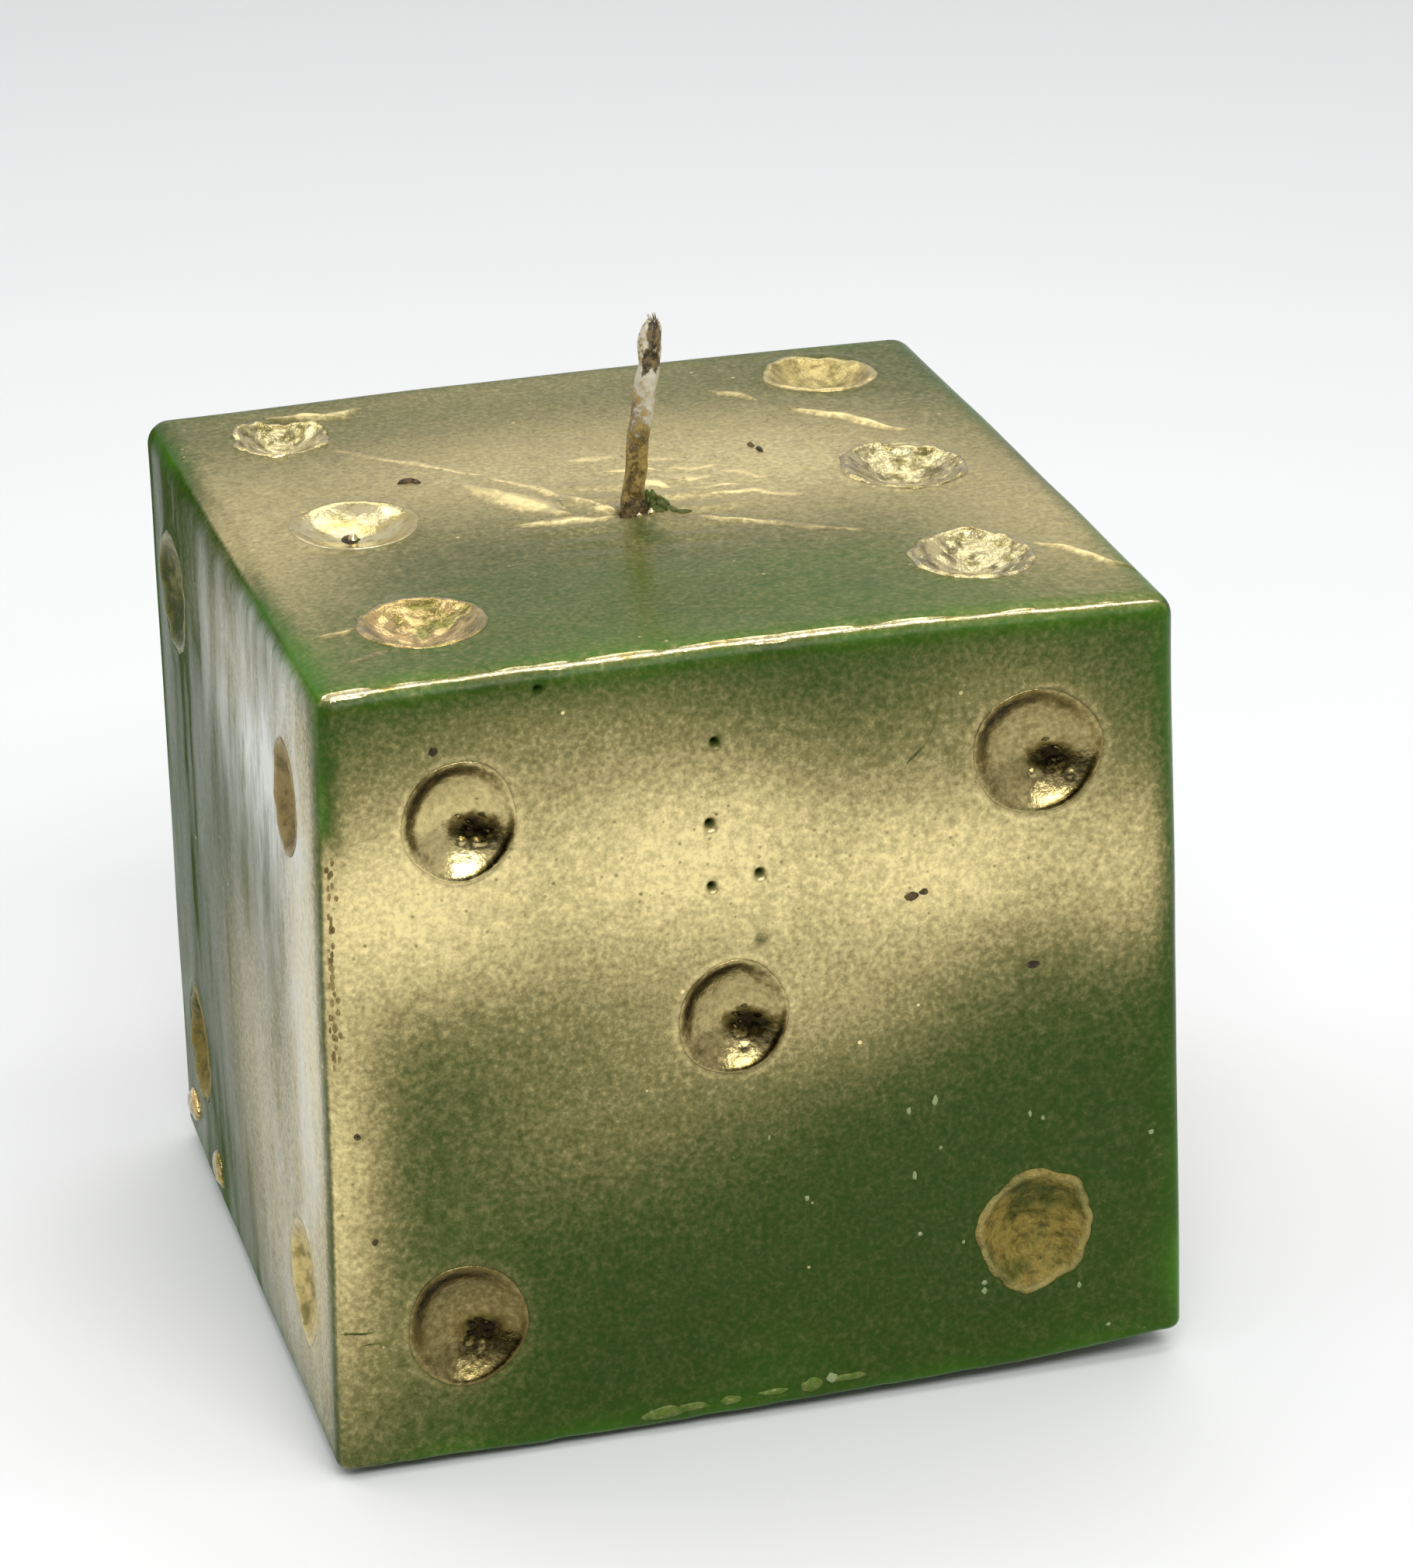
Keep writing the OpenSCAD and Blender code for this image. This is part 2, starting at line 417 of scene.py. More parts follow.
def thinness(face, u, v):
    """How much light comes through the wax: most at the edges, and patchy."""
    edge = edge_distance(face, u, v)
    patch = 0.5 + 0.75 * noise(xyz(u, v, len(face)), 5, 41, 2)
    thin = np.exp(-edge / 1.1) * patch + 0.2 * np.exp(-edge / 6)
    # Painted light: on the top the lighter green spreads over the front half as well.
    if face == "top":
        thin = thin + 0.3 * smooth((-4 - v) / 12)
    if face in ("front", "left"):
        # Lower down, spray covers the upright edge between these two.
        beside = u + HALF_W if face == "front" else HALF_W - u
        thin = thin * (1 - 0.85 * smooth((21 - v) / 6) * hump(beside, 6))
    if face in ("front", "right"):
        beside = HALF_W - u if face == "front" else u + HALF_W
        thin = thin * (1 - 0.65 * hump(beside, 4) * hump(v - 4, 18))
    if face in ("top", "left"):
        thin = thin * (1 - 0.85 * over_top_left(face, u, v))
    return np.clip(thin, 0, 1)


# ---- the wax mesh
def grid_lines(half, step, low_r, high_r):
    """Lines across a face: even in the flat, and by equal angles round each edge."""
    bend = [math.tan(math.radians(45 * k / 4)) for k in range(1, 5)]
    flat_low, flat_high = -half + low_r, half - high_r
    count = round((flat_high - flat_low) / step)
    lines = [flat_low - low_r * b for b in reversed(bend)]
    lines += list(np.linspace(flat_low, flat_high, count + 1))
    lines += [flat_high + high_r * b for b in bend]
    return np.array(lines)


PLAN_LINES = grid_lines(HALF_W, 0.48, TOP_R, TOP_R)
RISE_LINES = grid_lines(HALF_H, 0.7, BASE_R, TOP_R)


# What the wax material reads at each point.
FIELDS = {"mist": mist, "thin": thinness, "painted_sheen": painted_sheen, "matte": matte}


def hoops(spokes, gaps):
    """Four-sided faces between rings of points, which go ring by ring."""
    faces = []
    for k in range(gaps):
        low, high = k * spokes, (k + 1) * spokes
        for j in range(spokes):
            after = (j + 1) % spokes
            faces.append((low + j, low + after, high + after, high + j))
    return faces


def disc(spokes, rings):
    """Faces of a disc whose points go ring by ring, from the rim to the one in the middle."""
    last = (rings - 1) * spokes
    fan = [(last + j, last + (j + 1) % spokes, rings * spokes) for j in range(spokes)]
    return hoops(spokes, rings - 1) + fan


def shifted(faces, by):
    """The same faces of points that come that many later."""
    return [tuple(by + i for i in face) for face in faces]


class Sheets:
    """Collects pieces of the block's surface, which are welded where they meet."""

    def __init__(self):
        self.points, self.keys, self.quads, self.count = [], [], [], 0
        self.fields = {name: [] for name in FIELDS}

    def add(self, face, u, v, quads):
        across, up, outward = FACES[face]
        self.points.append(on_block(face, u, v, relief(face, u, v)))
        for name, field in FIELDS.items():
            self.fields[name].append(field(face, u, v))
        self.keys.append(u[:, None] * across + v[:, None] * up + outward * HALF)
        self.quads += shifted(quads, self.count)
        self.count += len(u)

    def face(self, name, holes):
        """One face as a grid, with a patch in each hole: u, v, half size, ring shares and rim radius."""
        us = PLAN_LINES
        vs = PLAN_LINES if name in ("top", "base") else RISE_LINES
        taken = np.zeros((len(us) - 1, len(vs) - 1), bool)
        for u, v, half, shares, radius in holes:
            i0, i1 = (int(np.abs(us - edge).argmin()) for edge in (u - half, u + half))
            j0, j1 = (int(np.abs(vs - edge).argmin()) for edge in (v - half, v + half))
            taken[i0:i1, j0:j1] = True
            self.patch(name, us[i0 : i1 + 1], vs[j0 : j1 + 1], (u, v), shares, radius)
        uu, vv = np.meshgrid(us, vs, indexing="ij")
        n = len(vs)
        quads = [
            (i * n + j, (i + 1) * n + j, (i + 1) * n + j + 1, i * n + j + 1)
            for i in range(len(us) - 1)
            for j in range(n - 1)
            if not taken[i, j]
        ]
        self.add(name, uu.ravel(), vv.ravel(), quads)

    def patch(self, name, us, vs, middle, shares, radius):
        """Fills a rectangle of the grid with rings, from its outline to a round rim and the middle."""
        loop = [(u, vs[0]) for u in us[:-1]] + [(us[-1], v) for v in vs[:-1]]
        loop += [(u, vs[-1]) for u in us[:0:-1]] + [(us[0], v) for v in vs[:0:-1]]
        loop = np.array(loop)
        away = loop - middle
        angle = np.arctan2(away[:, 1], away[:, 0])
        distance = np.hypot(*away.T)
        rim = radius(angle)
        rings = [distance]
        for t in (0.3, 0.6, 0.85):
            rings.append(distance * (1 - t) + rim * shares[0] * t)
        rings += [rim * s for s in shares]
        u = np.concatenate([middle[0] + r * np.cos(angle) for r in rings] + [[middle[0]]])
        v = np.concatenate([middle[1] + r * np.sin(angle) for r in rings] + [[middle[1]]])
        u[: len(loop)], v[: len(loop)] = loop.T
        self.add(name, u, v, disc(len(loop), len(rings)))

    def mesh(self, name):
        keys = np.round(np.vstack(self.keys), 4) + 0.0
        unique, first, where = np.unique(keys, axis=0, return_index=True, return_inverse=True)
        where = where.ravel()
        faces = [tuple(where[list(q)]) for q in self.quads]
        used = np.unique(np.concatenate([np.array(f) for f in faces]))
        new_index = np.full(len(unique), -1)
        new_index[used] = np.arange(len(used))
        points = np.vstack(self.points)[first[used]]
        faces = [tuple(new_index[list(f)].tolist()) for f in faces]
        data = bpy.data.meshes.new(name)
        data.from_pydata((points * MM).tolist(), [], faces)
        for field, parts in self.fields.items():
            write(data, field, np.concatenate(parts)[first[used]])
        data.polygons.foreach_set("use_smooth", [True] * len(data.polygons))
        return data


def write(data, name, values):
    """Stores one number for each point of a mesh, for its material to read."""
    data.attributes.new(name, "FLOAT", "POINT").data.foreach_set("value", values.astype(np.float32))


def new_object(name, data):
    made = bpy.data.objects.new(name, data)
    bpy.context.scene.collection.objects.link(made)
    return made


def piece(name, data, material, slot, *nodes):
    """Makes a finished piece of a mesh, which rides on the candle's one body."""
    made = new_object(name, data)
    data.materials.append(material)
    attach(made, "root")
    if nodes:
        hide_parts(*nodes)


# ---- materials
class Graph:
    """Builds shader nodes. A value for a socket is a number, a colour or another node's output."""

    def __init__(self, owner, shader, place):
        owner.use_nodes = True
        self.owner, self.tree = owner, owner.node_tree
        self.shader = self.tree.nodes[shader]
        self.place = self.node("TexCoord").outputs[place]

    def node(self, kind):
        return self.tree.nodes.new("ShaderNode" + kind)

    def put(self, socket, value):
        if isinstance(value, bpy.types.NodeSocket):
            self.tree.links.new(value, socket)
        else:
            socket.default_value = (*value, 1) if socket.type == "RGBA" else value

    def noise(self, size, detail=2.0, rough=0.5, stretch=None):
        """Noise whose grains are about size millimetres across."""
        vector = self.place
        if stretch:
            mapping = self.node("Mapping")
            mapping.inputs["Scale"].default_value = stretch
            self.put(mapping.inputs["Vector"], vector)
            vector = mapping.outputs["Vector"]
        made = self.node("TexNoise")
        self.put(made.inputs["Vector"], vector)
        self.put(made.inputs["Scale"], 1 / (size * MM))
        self.put(made.inputs["Detail"], detail)
        self.put(made.inputs["Roughness"], rough)
        return made.outputs["Fac"]

    def cells(self, size):
        """Distance to the nearest of points that lie about size millimetres apart."""
        made = self.node("TexVoronoi")
        self.put(made.inputs["Vector"], self.place)
        self.put(made.inputs["Scale"], 1 / (size * MM))
        return made.outputs["Distance"]

    def distance(self):
        """Distance from the object's own origin, in metres."""
        made = self.node("VectorMath")
        made.operation = "LENGTH"
        self.put(made.inputs[0], self.place)
        return made.outputs["Value"]

    def attribute(self, name):
        made = self.node("Attribute")
        made.attribute_name = name
        return made.outputs["Fac"]

    def maths(self, operation, a, b=0.0, c=0.0):
        made = self.node("Math")
        made.operation = operation
        for socket, value in zip(made.inputs, (a, b, c)):
            self.put(socket, value)
        return made.outputs[0]

    def vary(self, base, noise, amount):
        """base, moved up and down by noise."""
        return self.maths("MULTIPLY_ADD", self.maths("SUBTRACT", noise, 0.5), amount, base)

    def ramp(self, value, low, high, to_low=0.0, to_high=1.0):
        made = self.node("MapRange")
        made.interpolation_type = "SMOOTHSTEP"
        for socket, number in zip(made.inputs, (value, low, high, to_low, to_high)):
            self.put(socket, number)
        return made.outputs[0]

    def blend(self, share, a, b):
        made = self.node("Mix")
        made.data_type = "RGBA"
        self.put(made.inputs[0], share)
        self.put(made.inputs[6], a)
        self.put(made.inputs[7], b)
        return made.outputs[2]

    def bump(self, height, depth, under=None):
        """Relief of that many millimetres, on top of another bump if one is given."""
        made = self.node("Bump")
        self.put(made.inputs["Height"], height)
        self.put(made.inputs["Distance"], depth * MM)
        if under:
            self.put(made.inputs["Normal"], under)
        return made.outputs["Normal"]

    def finish(self, **sockets):
        for name, value in sockets.items():
            self.put(self.shader.inputs[name.replace("_", " ")], value)
        return self.owner


def new_material(name):
    return Graph(bpy.data.materials.new(name), "Principled BSDF", "Object")


GOLD = (0.86, 0.72, 0.345)
THIN_GOLD = (0.5, 0.4, 0.17)
FILM = (0.12, 0.1, 0.032)
GREEN = (0.022, 0.052, 0.003)
LIT_GREEN = (0.045, 0.145, 0.006)
SHEEN_WHITE = (0.72, 0.74, 0.68)


def misted_wax(name):
    """Green wax under a mist of gold spray: specks where it is thin, a film where it is thick."""
    gloss, satin, shiny = 0.24, 0.34, 0.13
    g = new_material(name)
    fine = g.noise(0.42, 2.0, 0.65)
    coarse = g.noise(1.3)
    level = g.vary(g.vary(g.attribute("mist"), fine, 0.7), coarse, 0.2)
    # Tiny pits that the spray didn't reach, and tiny crumbs that caught more of it.
    pits = g.ramp(g.cells(1.1), 0.08, 0.15, -0.28, 0)
    crumbs = g.ramp(g.cells(3.1), 0.035, 0.06, 0.6, 0)
    level = g.maths("ADD", level, g.maths("MULTIPLY", pits, g.ramp(g.attribute("mist"), 0.6, 0.9)))
    level = g.maths("ADD", level, g.maths("MULTIPLY", crumbs, g.ramp(g.noise(9), 0.48, 0.6)))
    gold = g.maths("POWER", g.maths("MAXIMUM", level, 0.0), 1.95)
    gold = g.maths("MINIMUM", gold, 1.0)
    # Painted light: a lighter copy of the green where light comes through the wax.
    thin = g.vary(g.attribute("thin"), g.noise(9, 3.0), 0.5)
    green = g.blend(g.ramp(thin, 0, 1), GREEN, LIT_GREEN)
    # Between its specks the spray left a brownish film.
    green = g.blend(g.ramp(g.attribute("mist"), 0.22, 0.85), green, FILM)
    normal = g.bump(g.noise(4.5, 2.0, 0.4), 0.1)
    normal = g.bump(g.noise(1.6), 0.035, normal)
    normal = g.bump(fine, 0.014, normal)
    # Painted sheen: pale streaks on the left stand in for its reflection at a grazing angle.
    streaks = g.ramp(g.noise(2.4, 5.0, 0.72, stretch=(1, 1, 0.3)), 0.3, 0.68, 0.35, 1.25)
    sheen = g.maths("MINIMUM", g.maths("MULTIPLY", g.attribute("painted_sheen"), streaks), 1.0)
    spray = g.blend(g.ramp(level, 0.2, 0.95), THIN_GOLD, GOLD)
    shine = g.maths("MULTIPLY_ADD", g.attribute("matte"), -shiny, shiny)
    return g.finish(
        Base_Color=g.blend(sheen, g.blend(gold, green, spray), SHEEN_WHITE),
        Metallic=g.maths("MULTIPLY", g.ramp(gold, 0, 0.8, 0, 0.85), g.maths("SUBTRACT", 1.0, sheen)),
        Roughness=g.ramp(gold, 0, 0.8, gloss, satin),
        IOR=1.45,
        Specular_IOR_Level=shine,
        Subsurface_Weight=0.15,
        Subsurface_Radius=(0.4, 1.0, 0.25),
        Subsurface_Scale=0.003,
        Normal=normal,
    )


def pale_wax(name):
    """Wax that was scraped or chipped, which scatters more light."""
    g = new_material(name)
    return g.finish(
        Base_Color=g.blend(g.noise(0.5), (0.1, 0.17, 0.035), (0.36, 0.4, 0.2)),
        Roughness=g.ramp(g.noise(0.3), 0.3, 0.7, 0.35, 0.6),
        Normal=g.bump(g.noise(0.25, 3.0), 0.03),
    )


def wet_gold(name):
    """Spray that pooled in a smooth dimple and set like a mirror, dull where it is thin."""
    g = new_material(name)
    fine = g.noise(0.45, 3.0, 0.65)
    level = g.vary(g.attribute("mist"), fine, 1.0)
    colour = g.blend(g.ramp(level, -0.1, 1.1), (0.14, 0.11, 0.035), (0.74, 0.61, 0.28))
    # Painted shade and reflection, partly dark residue: the pool attribute turns the gold dark brown in a
    # crescent, an arc and a pool.
    dark = g.vary(g.attribute("pool"), g.noise(0.7, 3.0, 0.65), 0.9)
    colour = g.blend(g.ramp(dark, 0.16, 0.6), colour, (0.115, 0.085, 0.022))
    colour = g.blend(g.ramp(dark, 0.5, 0.95), colour, (0.018, 0.013, 0.005))
    normal = g.bump(g.noise(0.9, 4.0, 0.6), 0.05)
    return g.finish(
        Base_Color=colour,
        Metallic=0.95,
        Roughness=g.ramp(fine, 0.3, 0.7, 0.14, 0.25),
        Normal=g.bump(fine, 0.012, normal),
    )


def gold_paint(name, bright, dull, roughness, metallic, patch, amount, wrinkle, coat, edge=None):
    """Dabbed metallic paint: bright where it is thick, and dull or green where the wax shows through."""
    g = new_material(name)
    cloud = g.noise(patch, 3.0, 0.6)
    share = g.ramp(cloud, amount - 0.12, amount + 0.12)
    fine = g.noise(0.3, 2.0, 0.6)
    creased = g.noise(0.75, 3.0, 0.6)
    shade = g.blend(g.maths("MULTIPLY", fine, 0.4), bright, tuple(c * 0.4 for c in bright))
    colour = g.blend(share, dull, shade)
    # Painted shade: the paint is darker in the hollows of the wrinkles that the same noise bumps.
    colour = g.blend(g.ramp(creased, 0.3, 0.52, 0.6, 0), colour, tuple(c * 0.45 for c in dull))
    edge = edge or tuple(c**0.8 for c in bright)
    colour = g.blend(g.maths("MULTIPLY", g.attribute("rim"), 0.7), colour, edge)
    normal = g.bump(creased, wrinkle)
    normal = g.bump(fine, 0.012, normal)
    return g.finish(
        Base_Color=colour,
        Metallic=metallic,
        Roughness=g.ramp(fine, 0.2, 0.8, roughness * 0.8, roughness * 1.25),
        Specular_IOR_Level=0.25,
        Coat_Weight=coat,
        Coat_Roughness=0.08,
        Normal=normal,
    )


def waxed_cotton(name):
    """Cotton soaked in wax: off-white, ochre towards the foot, and dark where it is bare."""
    g = new_material(name)
    blotch = g.noise(1.6, 4.0, 0.65)
    soaked = g.maths("MULTIPLY_ADD", g.attribute("stain"), 0.3, blotch)
    stain = g.ramp(soaked, 0.5, 0.64)
    waxy = g.ramp(g.noise(0.8, 4.0, 0.7), 0.38, 0.62)
    ochre = g.blend(waxy, (0.09, 0.055, 0.012), (0.4, 0.28, 0.08))
    pale = g.blend(g.noise(0.5), (0.5, 0.44, 0.3), (0.74, 0.7, 0.56))
    sooty = g.ramp(g.noise(0.5, 4.0, 0.7), 0.4, 0.65)
    dark = g.blend(sooty, (0.025, 0.018, 0.007), (0.24, 0.17, 0.07))
    ragged = g.vary(g.attribute("burnt"), g.noise(0.8, 4.0, 0.65), 1.6)
    burnt = g.ramp(ragged, 0.4, 0.55)
    normal = g.bump(g.noise(0.35, 3.0, 0.6), 0.07)
    return g.finish(
        Base_Color=g.blend(burnt, g.blend(stain, pale, ochre), dark),
        Roughness=g.ramp(blotch, 0.3, 0.7, 0.3, 0.55),
        Subsurface_Weight=0.15,
        Subsurface_Scale=0.001,
        Normal=normal,
    )


def tinned_steel(name):
    g = new_material(name)
    scuff = g.noise(0.8, 4.0, 0.6, stretch=(1, 6, 1))
    return g.finish(
        Base_Color=g.blend(scuff, (0.55, 0.56, 0.57), (0.72, 0.72, 0.72)),
        Metallic=1.0,
        Roughness=g.ramp(scuff, 0.3, 0.7, 0.25, 0.45),
        Normal=g.bump(scuff, 0.01),
    )


WAX = misted_wax("green_wax_misted")
PALE_WAX = pale_wax("green_wax_scraped")
# The dabbed paints: bright colour, dull colour, roughness, metallic, size of its patches, share of dull
# ones, depth of its wrinkles, coat, and for some the colour of its rim.
DABBED = {
    "ochre": ((0.27, 0.2, 0.038), (0.06, 0.07, 0.006), 0.5, 0.15, 3.4, 0.46, 0.5, 0.0, (0.34, 0.29, 0.1)),
    "brown": ((0.33, 0.245, 0.09), (0.16, 0.115, 0.035), 0.45, 0.3, 1.8, 0.45, 0.2, 0.0),
    "straw": ((0.66, 0.52, 0.2), (0.25, 0.2, 0.05), 0.3, 0.7, 1.6, 0.42, 0.12, 0.2),
    "pale": ((0.9, 0.77, 0.4), (0.22, 0.18, 0.045), 0.18, 1.0, 1.2, 0.45, 0.16, 0.4, (0.6, 0.48, 0.18)),
    "mirror": ((0.96, 0.84, 0.48), (0.7, 0.56, 0.2), 0.16, 1.0, 2.6, 0.4, 0.05, 0.0, (0.6, 0.48, 0.17)),
    "amber": ((0.92, 0.64, 0.26), (0.22, 0.2, 0.03), 0.12, 0.95, 2.4, 0.5, 0.14, 0.4, (0.5, 0.36, 0.09)),
    "olive": ((0.2, 0.19, 0.035), (0.04, 0.055, 0.006), 0.35, 0.15, 2.2, 0.54, 0.2, 0.0),
    "dirtied": ((0.14, 0.095, 0.035), (0.03, 0.022, 0.008), 0.4, 0.2, 1.0, 0.5, 0.05, 0.0),
}
PAINTS = {"wet": wet_gold("gold_wet")}
for name, look in DABBED.items():
    PAINTS[name] = gold_paint("gold_" + name, *look)
COTTON = waxed_cotton("waxed_cotton")
STEEL = tinned_steel("tinned_steel")


# ---- pieces
# Rings of the patches in the wax mesh, as shares of the rim, and each patch's half size.
PIP_RINGS = [1.18, 1.12, 1.07, 1.03, 1.0, 0.97, 0.93, 0.87, 0.79, 0.68, 0.55, 0.4, 0.22]
PIP_PATCH = 5.9
PINHOLE_RINGS = [1.9, 1.4, 1.0, 0.7, 0.4]
PINHOLE_PATCH = 1.3
WICK_RINGS = [4.0, 3.3, 2.7, 2.2, 1.8, 1.45, 1.2, 1.0, 0.85, 0.7, 0.4]
WICK_PATCH = 5.5
WELL_RINGS = [1.03, 1.01, 1.0, 0.99, 0.9, 0.75, 0.6, 0.51, 0.5, 0.48, 0.3]
WELL_PATCH = 20.0


def round_rim(radius):
    return lambda angle: radius + 0 * angle


def wax_block():
    sheets = Sheets()
    for name in FACES:
        pips = [p for p in PIPS if p.face == name]
        holes = [(p.u, p.v, PIP_PATCH, PIP_RINGS, p.radius) for p in pips]
        if name == "front":
            for u, v, r in PINHOLES:
                # The pinholes close to a pip are part of that pip's patch.
                if all(p.share(u, v) > 1.7 for p in pips):
                    holes.append((u, v, PINHOLE_PATCH, PINHOLE_RINGS, round_rim(r)))
        if name == "top":
            holes.append((*WICK_AT, WICK_PATCH, WICK_RINGS, round_rim(1.0)))
        if name == "base":
            holes.append((WELL_AT[0], -WELL_AT[1], WELL_PATCH, WELL_RINGS, round_rim(WELL_R)))
        sheets.face(name, holes)
    piece("wax_block", sheets.mesh("wax_block"), WAX, "green_wax", "wax_body")


def solid(name, shapes):
    """One smooth mesh of several closed shapes, each of them points in millimetres and faces."""
    points, faces, count = [], [], 0
    for more, sides in shapes:
        points.append(more)
        faces += shifted(sides, count)
        count += len(more)
    data = bpy.data.meshes.new(name)
    data.from_pydata((np.vstack(points) * MM).tolist(), [], faces)
    data.polygons.foreach_set("use_smooth", [True] * len(data.polygons))
    return data


def turns(spokes):
    """Angles all round."""
    return np.arange(spokes) * 2 * math.pi / spokes


def closed(top, under, spokes, rings):
    """Points and faces of a closed shape: a disc, another one under it, and a wall between their rims."""
    count = len(top)
    faces = disc(spokes, rings)
    below = shifted([reversed(f) for f in faces], count)
    sides = [(j, count + j, count + (j + 1) % spokes, (j + 1) % spokes) for j in range(spokes)]
    return np.vstack([top, under]), faces + below + sides


def crumbs_in(pip, u, v):
    """A few dried bubbles in the wet pips, low and to the right of the middle."""
    bubbles, tallest = 14, 0.17
    rng = np.random.default_rng(pip.seed)
    height = 0 * u
    for _ in range(bubbles):
        cu = pip.u + pip.radius_u * (0.28 + rng.normal(0, 0.13))
        cv = pip.v - pip.radius_v * (0.25 + rng.normal(0, 0.16))
        width = rng.uniform(0.1, 0.24)
        height = np.maximum(height, tallest * hump(np.hypot(u - cu, v - cv), width))
    return height


# In the wet pips painted shade darkens a crescent on the upper left, and there is a dark arc and a dark
# pool low on the right;
# the pool is a painted reflection of the dark room in front, and partly dark residue. Below: the angles of
# the first two from the right, and the pool's place and reach.
SHADE_WAY = 2.2
ARC_WAY = -0.8
POOL_AT = (1.3, -0.95)
POOL_REACH = (1.9, 1.15)


def paint_skin(pip):
    """A thin closed skin of paint that lines a pip and laps over its rim, uneven as it was dabbed on."""
    spokes, rings = 96, 28
    angle = turns(spokes)
    tatters = noise(xyz(np.cos(angle), np.sin(angle)) * 2.3 + pip.seed, 1, pip.seed, 3)
    edge = pip.radius(angle) * (1.02 + pip.ragged * (0.12 + 0.45 * tatters))
    share = np.linspace(1, 0, rings + 1)[:-1] ** 0.8
    s = np.append(np.repeat(share, spokes), 0)
    turn = np.append(np.tile(angle, rings), 0)
    reach = np.append(np.tile(edge, rings), 0) * s
    u, v = pip.u + reach * np.cos(turn), pip.v + reach * np.sin(turn)
    flat = xyz(u, v)
    creases = 1 - 2 * abs(noise(flat + pip.seed, 1.5, pip.seed + 5, 2))
    lumps = noise(flat, 2.6, pip.seed + 9, 2)
    thick = PAINT * smooth((1 - s) * 14)
    thick = thick + pip.crinkle * smooth((1 - s) * 6) * (0.6 * creases + 0.8 * lumps)
    if pip.paint == "wet":
        thick = thick + crumbs_in(pip, u, v)
    else:
        lip = 0.05 if pip.paint == "mirror" else 0.14
        uneven = 0.6 + 0.9 * noise(flat, 1.8, pip.seed + 13, 2)
        thick = thick + lip * uneven * hump(s - 0.9, 0.07)
    base = relief(pip.face, u, v)
    top = on_block(pip.face, u, v, base + np.maximum(thick, CLEAR) + CLEAR)
    under = on_block(pip.face, u, v, base - SUNK)
    data = solid(pip.node, [closed(top, under, spokes, rings)])
    # Painted shade and reflection: the crescent and the arc darken the rim, and the pool, partly dark
    # residue, stands in for the dark room reflected low on the right.
    width = 0.17 + 0.05 * noise(flat, 2.4, pip.seed + 19, 2)
    crescent = 0.8 * hump(s - 0.84, width) * (0.5 + 0.5 * np.cos(turn - SHADE_WAY)) ** 1.2
    crescent = crescent + 0.85 * hump(s - 0.93, 0.06) * (0.5 + 0.5 * np.cos(turn - ARC_WAY)) ** 5
    across = (u - pip.u - POOL_AT[0]) / POOL_REACH[0]
    up = (v - pip.v - POOL_AT[1]) / POOL_REACH[1]
    pool = 0.95 * hump(np.hypot(across, up) ** 1.5, 1.0)
    gold = np.clip(mist(pip.face, u, v) * 0.9 * pip.tone, 0, 1)
    write(data, "mist", np.tile(gold, 2))
    write(data, "pool", np.tile(np.clip(crescent + pool, 0, 1), 2))
    wavering = noise(flat, 1.1, pip.seed + 17, 3)
    rim = hump(s - 0.93 - 0.06 * wavering, 0.06) * np.clip(0.7 + 0.8 * wavering, 0, 1)
    write(data, "rim", np.tile(rim, 2))
    piece(pip.node.replace("pip", "paint"), data, PAINTS[pip.paint], "gold_paint", pip.node)


def tube(path, radius, spokes):
    """Rings of points round an upright path, closed at both ends. radius takes the step and the angles."""
    path = np.array(path)
    along = np.gradient(path, axis=0)
    along /= np.linalg.norm(along, axis=1)[:, None]
    side = np.cross(along, (0, 1, 0))
    side /= np.linalg.norm(side, axis=1)[:, None]
    front = np.cross(along, side)
    angle = turns(spokes)
    c, s = np.cos(angle)[:, None], np.sin(angle)[:, None]
    points = [path[k] + radius(k, angle)[:, None] * (c * side[k] + s * front[k]) for k in range(len(path))]
    points = np.vstack(points + [path[:1], path[-1:]])
    n, last, end = spokes, len(path) - 1, len(points)
    faces = hoops(n, last)
    faces += [(end - 2, (j + 1) % n, j) for j in range(n)]
    faces += [(end - 1, last * n + j, last * n + (j + 1) % n) for j in range(n)]
    return points, faces


